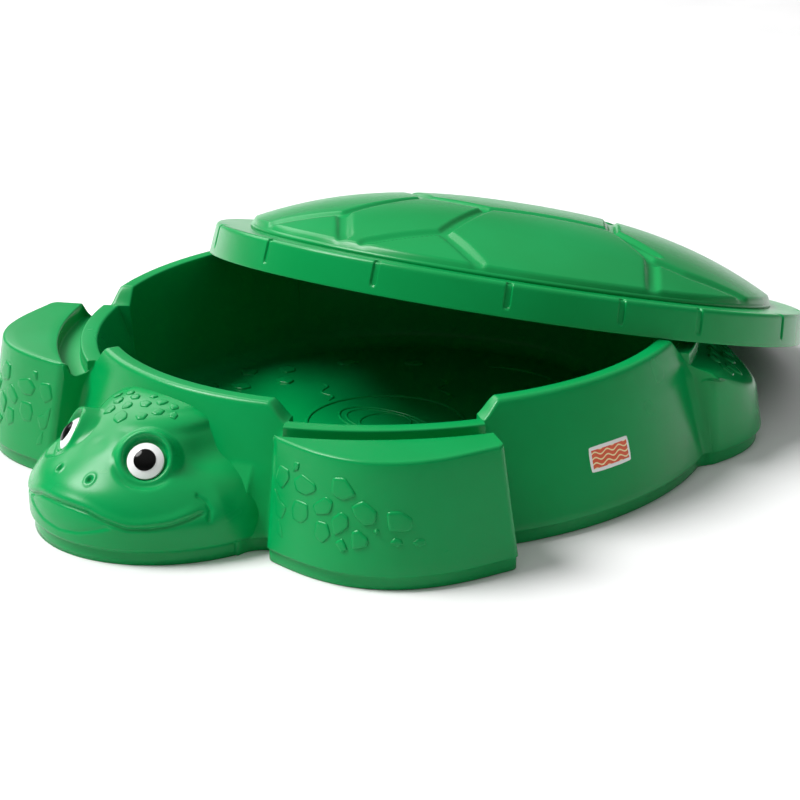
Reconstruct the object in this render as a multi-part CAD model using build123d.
"""Turtle-shaped sandbox with a lift-off cover, leaning half open on its tub.

Frame: +Z up, the turtle's head points along -Y, +X is its left-hand side.
The origin is on the ground at the centre of the tub's rim.
All lengths are in millimetres and all angles in degrees.
"""
import math
import os

from build123d import *

# ---- tub: rim, wall and floor -------------------------------------------------
wall = 2.5                    # thickness of both mouldings
rim_half_width = 433.0        # outer edge of the high rim, along X
rim_half_length = 460.0       # outer edge of the high rim, along Y
rim_height = 196.0
rim_band = 22.0               # width of the rim's rolled top
rim_round = 8.0
wall_flare = 50.0             # how far the outer wall stands out at its foot
foot_band_height = 20.0       # recessed band along the ground
foot_band_step = 7.0
foot_edge_round = 2.0
basin_draft = 14.0            # how much the basin narrows towards its floor
floor_round = 28.0

# ---- tub: lowered ledges and the channels that take the cover's skirt ---------
ledge_height = 171.0
ledge_inner = -5.0            # ledge edges, measured outwards from the rim's edge
ledge_outer = 19.0
channel_outer = 51.0
channel_floor = 149.0
ledge_slope_height = 70.0     # how far down the basin wall leans out at a ledge
step_slope = 45.0             # lean of the steps from rim to ledge

# ---- tub: front legs (angles are counted from the head towards either side) ---
front_leg_middle = 42.0
front_leg_half_angle = 17.0
front_toe_reach = (78.0, 126.0, 151.0, 137.0, 109.0)   # beyond the rim, from the head side
front_leg_flare = 26.0

# ---- tub: rear legs ------------------------------------------------------------
rear_leg_middle = 131.0
rear_leg_half_angle = 16.5
rear_toe_reach = (57.0, 101.0, 119.0, 101.0, 57.0)
rear_leg_flare = 12.0
rear_toe_height = 88.0
slope_spread = 1.5            # width of the slope's cutting body, in leg widths

# ---- tub: head and tail --------------------------------------------------------
head_setback = 10.0           # the centre that the head's outlines share, behind the rim's edge
head_levels = (               # height, half width, reach in front of head_middle
    (20.0, 191.0, 206.0),
    (60.0, 188.0, 206.0),
    (95.0, 168.0, 191.0),
    (125.0, 136.0, 151.0),
    (150.0, 104.0, 112.0),
    (170.0, 72.0, 66.0),
)
tail_half_width = 55.0
tail_reach = 62.0             # beyond the wall's foot
tail_height = 95.0
tail_taper = 3.0              # how many times narrower the tail is at its top

# ---- eyes ----------------------------------------------------------------------
eye_diameter = 50.0
eye_side = 78.0               # X of the eye's middle
eye_forward = 116.0           # in front of the centre that the head's outlines share
eye_height = 128.0
eye_turn = 38.0               # from straight ahead towards the side
eye_lift = 36.0               # above the horizon
eye_seat_depth = 5.0
eye_rim_thickness = 5.5
eye_crown = 8.0
eye_stem_diameter = 12.0
eye_stem_length = 12.0
eye_stem_clearance = 0.2
pupil_diameter = 30.0
pupil_recess_depth = 2.0
pupil_rim_thickness = 3.0
pupil_crown = 3.5
eye_clearance = 0.3           # round the white in its socket and the pupil in the white

# ---- side label ----------------------------------------------------------------
label_length = 82.0
label_width = 38.0
label_thickness = 0.6
label_margin = 7.0            # between the label and the edge of its pocket
label_angle = 84.0
label_height = 92.0
label_pocket_depth = 3.6      # at the pocket's middle, as the wall there is round

# ---- cover ---------------------------------------------------------------------
cover_gap = 35.0              # skirt outside the rim's edge when the cover is on
cover_skirt = 50.0            # height of the skirt, from its lower edge to the flange
cover_skirt_draft = 3.0
cover_edge_round = 6.0
cover_flange = 56.0           # from the skirt's lower edge in to the dome's foot
cover_dome_step = 9.0         # height of the step at the dome's foot
cover_step_round = 3.0
cover_dome_height = 91.0      # crown above that step
cover_dome_power = 2.25       # how full the dome is: height falls as radius ^ power

# ---- cover's rest: rear edge on the ground, skirt across the rim ---------------
cover_shift = 323.0           # how far the cover is slid back
cover_heading = 8.0           # direction of that slide, turned from straight back
cover_twist = -3.7            # turn of the cover about its own axis
tilt_search = (4.0, 40.0)     # tilts between which the resting one is looked for
tilt_tolerance = 0.001
edge_steps = 12000            # points tested along each edge of the skirt
dome_steps = 6                # spans of the dome's section curve
rest_gap = 0.3                # between the cover and what carries it
cut_over = 1.0                # how far a cutting body runs past a face

# ---- sizes that follow -----------------------------------------------------------
rim_stretch = rim_half_length / rim_half_width
cover_half_width = rim_half_width + cover_gap + cover_skirt_draft / 2
cover_half_length = rim_half_length + cover_gap + cover_skirt_draft / 2
cover_stretch = cover_half_length / cover_half_width
foot_radius = rim_half_width + wall_flare
front_toe_radii = tuple(rim_half_width + reach for reach in front_toe_reach)
rear_toe_radii = tuple(rim_half_width + reach for reach in rear_toe_reach)
head_middle = head_setback - rim_half_length
dome_foot_radius = cover_half_width - cover_flange - cover_dome_step / 2


def turned(corners, radii, stretch):
    """Solid of revolution of (radius, height) corners, then lengthened along Y."""
    outline = FilletPolyline(*corners, radius=radii, close=True)
    profile = Plane.XZ * make_face(outline)
    return scale(revolve(profile, Axis.Z), by=(1, stretch, 1), about=(0, 0, 0))


def around(radius, angle):
    """Point at a radius and an angle counted from the head towards +X."""
    return (radius * math.sin(math.radians(angle)), -radius * math.cos(math.radians(angle)))


def rim_radius(angle, outwards=0.0):
    """Distance from the centre to the rim's outer edge, moved outwards, at an angle."""
    across = math.sin(math.radians(angle)) / (rim_half_width + outwards)
    along = math.cos(math.radians(angle)) / (rim_half_length + outwards)
    return 1.0 / math.hypot(across, along)


def tub_block(skin):
    """The tub's round body as a full block, with every face moved in by skin."""
    base = -cut_over if skin else 0.0
    corners = (
        (0, base),
        (foot_radius - foot_band_step - skin, base),
        (foot_radius - foot_band_step - skin, foot_band_height + skin),
        (foot_radius - skin, foot_band_height + skin),
        (rim_half_width - skin, rim_height - skin),
        (0, rim_height - skin),
    )
    return turned(corners, (0, 0, 0, foot_edge_round, rim_round - skin, 0), rim_stretch)


def basin(grow):
    """The hollow that holds the sand, with every face moved out by grow."""
    top_radius = rim_half_width - rim_band + grow
    corners = (
        (0, wall - grow),
        (top_radius - basin_draft, wall - grow),
        (top_radius, rim_height + cut_over),
        (0, rim_height + cut_over),
    )
    return turned(corners, (0, floor_round, 0, 0), rim_stretch)


def sector(middle, half_angle, grow):
    """Flat sector, with its two sides moved out by grow at the rim."""
    half = half_angle + math.degrees(grow / rim_half_width)
    far = 2 * rim_half_length
    corners = [(0, 0)]
    for share in (-1, 0, 1):
        corners.append(around(far, middle + share * half))
    return make_face(Polyline(*corners, close=True))


def ledge_opening(middle, half_angle, grow):
    """What is taken off above a ledge: slanted ends, and a basin wall leaning out."""
    bottom = ledge_height - grow
    rise = rim_height - bottom + cut_over
    wedge = extrude(sector(middle, half_angle, grow), rise, taper=-step_slope)
    step = Pos(0, 0, bottom) * wedge
    slope_foot = ledge_height - ledge_slope_height
    lean = turned(
        (
            (0, slope_foot),
            (rim_half_width - rim_band - basin_draft / 2 + grow, slope_foot),
            (rim_half_width + ledge_inner + grow, ledge_height + cut_over),
            (0, ledge_height + cut_over),
        ),
        0,
        rim_stretch,
    )
    slice_here = extrude(sector(middle, half_angle, grow), rim_height + cut_over)
    return step + (lean & slice_here)


def channel(grow):
    """Ring-shaped channel for the cover's skirt, with every face moved out by grow."""
    inner = rim_half_width + ledge_outer - grow
    outer = rim_half_width + channel_outer + grow
    top = rim_height
    bottom = channel_floor - grow
    corners = ((inner, bottom), (outer, bottom), (outer, top), (inner, top))
    return turned(corners, 0, rim_stretch)


def leg_outline(middle, half_angle, toe_radii, inwards, height):
    """Face of a leg at a height: two straight sides and a rounded toe."""
    half = half_angle - math.degrees(inwards / min(toe_radii))
    steps = len(toe_radii) - 1
    toe = []
    for index, radius in enumerate(toe_radii):
        toe.append(around(radius - inwards, middle + half * (2 * index / steps - 1)))
    hub_radius = rim_half_width - rim_band
    left = around(hub_radius, middle - half)
    right = around(hub_radius, middle + half)
    edges = [Line(left, toe[0]), Spline(*toe), Line(toe[-1], right), Line(right, left)]
    return Pos(0, 0, height) * make_face(edges)


def leg(middle, half_angle, toe_radii, flare, skin):
    """One leg, flaring towards its foot, on its recessed band."""
    base = -cut_over if skin else 0.0
    band_top = foot_band_height + skin
    wide = [radius + flare for radius in toe_radii]
    foot = leg_outline(middle, half_angle, wide, skin + foot_band_step, base)
    low = leg_outline(middle, half_angle, wide, skin, band_top)
    high = leg_outline(middle, half_angle, toe_radii, skin, ledge_height - skin)
    return extrude(foot, band_top - base, dir=(0, 0, 1)) + loft([low, high], ruled=True)


def toe_slope(middle, skin):
    """What is taken off a rear leg so that its top falls from the channel to the toe."""
    inner = rim_radius(middle, ledge_outer)
    outer = rear_toe_radii[len(rear_toe_radii) // 2]
    side = outer * math.tan(math.radians(rear_leg_half_angle)) * slope_spread
    corners = (
        (inner, channel_floor - skin),
        (outer, rear_toe_height - skin),
        (outer + foot_radius, rear_toe_height - skin),
        (outer + foot_radius, rim_height + cut_over),
        (inner, rim_height + cut_over),
    )
    profile = Plane.XZ * make_face(Polyline(*corners, close=True))
    return Rot(0, 0, middle - 90) * extrude(profile, side, both=True)


def head(skin):
    """The head as a block of rising, shrinking oval outlines on its recessed band."""
    base = -cut_over if skin else 0.0
    _, half_width, reach = head_levels[0]
    step = foot_band_step + skin
    foot = Pos(0, head_middle, base) * Ellipse(half_width - step, reach - step)
    outlines = []
    for level, (height, half_width, reach) in enumerate(head_levels):
        lift = skin if level == 0 else -skin
        oval = Ellipse(half_width - skin, reach - skin)
        outlines.append(Pos(0, head_middle, height + lift) * oval)
    return extrude(foot, foot_band_height + skin - base, dir=(0, 0, 1)) + loft(outlines)


def tail(skin):
    """A short tail: an oval at the wall's foot that narrows upwards."""
    base = -cut_over if skin else 0.0
    root = foot_radius * rim_stretch - foot_band_step
    step = foot_band_step + skin
    foot = Pos(0, root, base) * Ellipse(tail_half_width - step, tail_reach - step)
    low = Pos(0, root, foot_band_height + skin) * Ellipse(tail_half_width - skin, tail_reach - skin)
    high = Pos(0, root, tail_height - skin) * Ellipse(tail_half_width / tail_taper, tail_reach / tail_taper)
    return extrude(foot, foot_band_height + skin - base, dir=(0, 0, 1)) + loft([low, high])


def eye_plane(side):
    """Plane of an eye: its origin is the eye's middle, its normal looks outwards."""
    turn = math.radians(eye_turn)
    lift = math.radians(eye_lift)
    look = (side * math.sin(turn) * math.cos(lift), -math.cos(turn) * math.cos(lift), math.sin(lift))
    middle = (side * eye_side, head_middle - eye_forward, eye_height)
    return Plane(origin=middle, x_dir=(math.cos(turn), side * math.sin(turn), 0), z_dir=look)


def eye_socket(side, grow):
    """Round socket for the white of an eye, with every face moved out by grow."""
    depth = eye_seat_depth + grow
    reach = eye_seat_depth + eye_diameter
    radius = eye_diameter / 2 + eye_clearance + grow
    body = Cylinder(radius, depth + reach, align=(Align.CENTER, Align.CENTER, Align.MIN))
    return eye_plane(side) * Pos(0, 0, -depth) * body


def eye_stem_hole(side):
    """Hole through the socket's floor for the stem of the white."""
    radius = eye_stem_diameter / 2 + eye_stem_clearance
    length = eye_seat_depth + eye_stem_length
    body = Cylinder(radius, length, align=(Align.CENTER, Align.CENTER, Align.MAX))
    return eye_plane(side) * body


def crowned_disc(diameter, rim, crown):
    """Disc of the given rim thickness with a domed front, standing on its flat back."""
    radius = diameter / 2
    sphere_radius = (radius ** 2 + crown ** 2) / (2 * crown)
    dome = Pos(0, 0, rim + crown - sphere_radius) * Sphere(sphere_radius)
    body = Cylinder(radius, rim + crown, align=(Align.CENTER, Align.CENTER, Align.MIN))
    return body & dome


def pupil_sink():
    """How much the white's dome has fallen at the pupil's edge."""
    radius = eye_diameter / 2
    sphere_radius = (radius ** 2 + eye_crown ** 2) / (2 * eye_crown)
    return sphere_radius - math.sqrt(sphere_radius ** 2 - (pupil_diameter / 2) ** 2)


def pupil_seat():
    """Height of the pupil's back above the back of the white."""
    return eye_rim_thickness + eye_crown - pupil_recess_depth - pupil_sink()


def eye_white(side):
    """White of an eye: crowned disc with a recess for the pupil and a stem behind."""
    disc = crowned_disc(eye_diameter, eye_rim_thickness, eye_crown)
    recess = Cylinder(
        pupil_diameter / 2 + eye_clearance,
        eye_diameter,
        align=(Align.CENTER, Align.CENTER, Align.MIN),
    )
    stem = Cylinder(
        eye_stem_diameter / 2,
        eye_stem_length,
        align=(Align.CENTER, Align.CENTER, Align.MAX),
    )
    piece = disc - Pos(0, 0, pupil_seat()) * recess + stem
    return eye_plane(side) * Pos(0, 0, -eye_seat_depth) * piece


def pupil(side):
    """Black pupil: a smaller crowned disc that lies in the recess of the white."""
    piece = crowned_disc(pupil_diameter, pupil_rim_thickness, pupil_crown)
    return eye_plane(side) * Pos(0, 0, pupil_seat() - eye_seat_depth) * piece


def label_plane():
    """Plane of the label's pocket: its origin is on the wall, its normal looks outwards."""
    outwards = wall_flare * (rim_height - label_height) / (rim_height - foot_band_height)
    radius = rim_radius(label_angle, outwards)
    x, y = around(radius, label_angle)
    lean = math.atan2(wall_flare, rim_height - foot_band_height)
    sideways = around(1.0, label_angle)
    normal = (sideways[0] * math.cos(lean), sideways[1] * math.cos(lean), math.sin(lean))
    along = (-sideways[1], sideways[0], 0)
    return Plane(origin=(x, y, label_height), x_dir=along, z_dir=normal)


def label_pocket(grow):
    """Shallow flat-bottomed pocket for the label, with every face moved out by grow."""
    outline = SlotOverall(
        label_length + 2 * (label_margin + grow),
        label_width + 2 * (label_margin + grow),
    )
    body = extrude(outline, label_pocket_depth + grow + wall_flare)
    return label_plane() * Pos(0, 0, -label_pocket_depth - grow) * body


def side_label():
    """The label, flat on the floor of its pocket."""
    body = extrude(SlotOverall(label_length, label_width), label_thickness)
    return label_plane() * Pos(0, 0, -label_pocket_depth) * body


def tub_outside(skin):
    """The tub's outer form as one block, with every face moved in by skin."""
    front = (front_leg_middle, front_leg_half_angle)
    rear = (rear_leg_middle, rear_leg_half_angle)
    block = tub_block(skin)
    for side in (-1, 1):
        block -= ledge_opening(side * front[0], front[1], skin)
        block -= ledge_opening(side * rear[0], rear[1], skin)
        front_toe = front_toe_radii[::side]
        rear_toe = rear_toe_radii[::side]
        block += leg(side * front[0], front[1], front_toe, front_leg_flare, skin)
        rear_leg = leg(side * rear[0], rear[1], rear_toe, rear_leg_flare, skin)
        block += rear_leg - toe_slope(side * rear[0], skin)
    block -= channel(skin)
    block += head(skin)
    block += tail(skin)
    for side in (-1, 1):
        block -= eye_socket(side, skin)
    return block - label_pocket(skin)


def tub_inside(grow):
    """The open basin with its lowered edges, with every face moved out by grow."""
    hollow = basin(grow)
    for side in (-1, 1):
        hollow += ledge_opening(side * front_leg_middle, front_leg_half_angle, grow)
        hollow += ledge_opening(side * rear_leg_middle, rear_leg_half_angle, grow)
    return hollow


def make_tub():
    """The tub: one thin moulding, open from below behind its double wall."""
    shell = tub_outside(0) - tub_inside(0)
    shell -= tub_outside(wall) - tub_inside(wall)
    for side in (-1, 1):
        shell -= eye_stem_hole(side)
    return shell


def dome_height(share):
    """Height of the cover's outer face at a share of the dome's foot radius."""
    crown = 1.0 - share ** cover_dome_power
    return cover_skirt + cover_dome_step + cover_dome_height * crown


def cover_face(inwards):
    """Edges of one face of the cover's section, from the skirt's lower edge to the axis."""
    foot = cover_half_width - cover_flange
    corners = (
        (cover_half_width - inwards, 0),
        (cover_half_width - cover_skirt_draft - inwards, cover_skirt - inwards),
        (foot - inwards / 2, cover_skirt - inwards),
        (dome_foot_radius - inwards / 2, dome_height(1) - inwards),
    )
    lower = FilletPolyline(*corners, radius=(cover_edge_round - inwards, cover_step_round))
    crown = []
    for step in range(dome_steps + 1):
        share = 1 - step / dome_steps
        radius = (dome_foot_radius - inwards / 2) * share
        crown.append((radius, dome_height(share) - inwards))
    upper = Spline(*crown, tangents=((-1, dome_foot_slope()), (-1, 0)))
    return lower, upper, crown[-1]


def dome_foot_slope():
    """Rise per unit of radius at the dome's foot."""
    return cover_dome_height * cover_dome_power / dome_foot_radius


def make_cover():
    """The cover in its own frame: the skirt's lower edge lies at height zero."""
    outer_lower, outer_upper, top = cover_face(0.0)
    inner_lower, inner_upper, under_top = cover_face(wall)
    edge = Line((cover_half_width, 0), (cover_half_width - wall, 0))
    axis = Line(top, under_top)
    section = make_face([outer_lower, outer_upper, axis, inner_upper, inner_lower, edge])
    body = revolve(Plane.XZ * section, Axis.Z)
    return scale(body, by=(1, cover_stretch, 1), about=(0, 0, 0))


def skirt_edge_points():
    """Points of the skirt's lower edge, outside and inside, in the cover's own frame."""
    points = []
    for inwards in (0.0, wall):
        for step in range(edge_steps):
            angle = 2 * math.pi * step / edge_steps
            x = (cover_half_width - inwards) * math.cos(angle)
            y = (cover_half_length - inwards) * math.sin(angle)
            points.append((x, y))
    return points


def turned_by(x, y, angle):
    """A plan point turned about the vertical axis."""
    turn = math.radians(angle)
    return (x * math.cos(turn) - y * math.sin(turn), x * math.sin(turn) + y * math.cos(turn))


def placed_edge(tilt, lift):
    """The skirt's lower edge with the cover tilted back and its middle lifted."""
    placed = []
    for x, y in skirt_edge_points():
        x, y = turned_by(x, y, cover_twist - cover_heading)
        height = lift - y * math.sin(math.radians(tilt))
        y = y * math.cos(math.radians(tilt)) + cover_shift
        x, y = turned_by(x, y, cover_heading)
        placed.append((x, y, height))
    return placed


def rim_top(x, y):
    """Height of the high rim's rounded top at a plan point, or None beside the rim."""
    angle = abs(math.degrees(math.atan2(x, -y)))
    inside = rim_radius(angle) - math.hypot(x, y)
    wall_lean = math.atan2(wall_flare, rim_height - foot_band_height)
    round_start = rim_round / math.tan(math.pi / 4 + wall_lean / 2)
    if not round_start - rim_round * math.cos(wall_lean) <= inside <= rim_band:
        return None
    step_run = (rim_height - ledge_height) * math.tan(math.radians(step_slope))
    step_angle = math.degrees(step_run / rim_half_width)
    if abs(angle - front_leg_middle) < front_leg_half_angle + step_angle:
        return None
    if abs(angle - rear_leg_middle) < rear_leg_half_angle + step_angle:
        return None
    rounded = max(0.0, round_start - inside)
    return rim_height - rim_round + math.sqrt(rim_round ** 2 - rounded ** 2)


def ground_lift(tilt):
    """Height of the cover's middle that keeps its rear edge just off the ground."""
    return rest_gap - min(height for _, _, height in placed_edge(tilt, 0.0))


def rim_clearance(tilt):
    """Smallest height of the skirt's lower edge above the high rim that it crosses."""
    clearances = []
    for x, y, height in placed_edge(tilt, ground_lift(tilt)):
        top = rim_top(x, y)
        if top is not None:
            clearances.append(height - top)
    return min(clearances)


def resting_tilt():
    """Tilt at which the skirt just clears the rim, found by halving an interval."""
    low, high = tilt_search
    while high - low > tilt_tolerance:
        middle = (low + high) / 2
        if rim_clearance(middle) < rest_gap:
            low = middle
        else:
            high = middle
    return high


def cover_place():
    """Where the cover rests: slid back, its rear edge down and its front edge up."""
    tilt = resting_tilt()
    slide = Rot(0, 0, cover_heading) * Pos(0, cover_shift, ground_lift(tilt))
    print("cover tilt", round(tilt, 3), "lift", round(ground_lift(tilt), 2))
    return slide * Rot(-tilt, 0, 0) * Rot(0, 0, cover_twist - cover_heading)


def write(node, shape):
    """Write one node and say what it holds."""
    export_step(shape, f"parts/{node}.step")
    print(node, len(shape.solids()), "solid,", round(shape.volume / 1000), "cm3")


os.makedirs("parts", exist_ok=True)
write("tub", make_tub())
write("cover", cover_place() * make_cover())
for side, name in ((1, "left"), (-1, "right")):
    write(f"eye_white_{name}", eye_white(side))
    write(f"pupil_{name}", pupil(side))
write("side_label", side_label())
